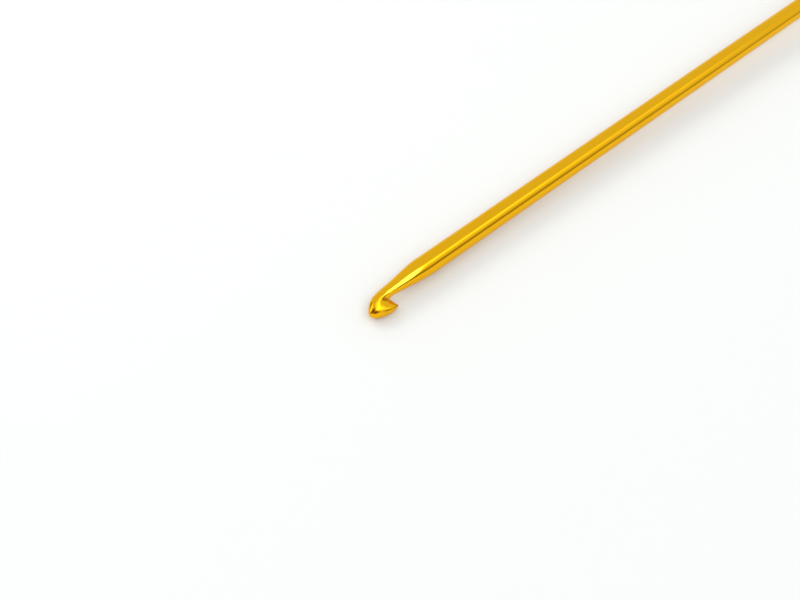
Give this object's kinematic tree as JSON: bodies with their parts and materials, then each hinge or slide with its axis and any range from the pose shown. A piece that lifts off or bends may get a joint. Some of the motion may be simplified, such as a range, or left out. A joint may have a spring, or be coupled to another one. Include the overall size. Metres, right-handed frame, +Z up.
{
  "type": "crochet hook",
  "caption": "Long gold anodised aluminium crochet hook with a forged head, pressed flats on the throat, a plain round shaft and a six-sided end stopper.",
  "frame": {"origin": "on the table under the middle of the bounding box, as the hook lies on its head and on one flat of its stopper", "axes": "+X along the shaft from the hook head to the stopper, +Z up, the mouth of the hook opens towards -Y and a little down"},
  "size_m": [0.25, 0.0166, 0.0151],
  "materials": {
    "gold_anodised_aluminium": "bright dipped, gold anodised, fine drawn lines along the shaft",
    "gold_anodised_plate": "gold anodised, turned lines",
    "natural_nylon": "moulded, natural white"
  },
  "bodies": {
    "root": {"hook_head": "gold_anodised_aluminium", "hook_shaft": "gold_anodised_aluminium", "stopper_cap": "gold_anodised_aluminium", "stopper_plate": "gold_anodised_plate", "stopper_core": "natural_nylon"}
  },
  "joints": []
}
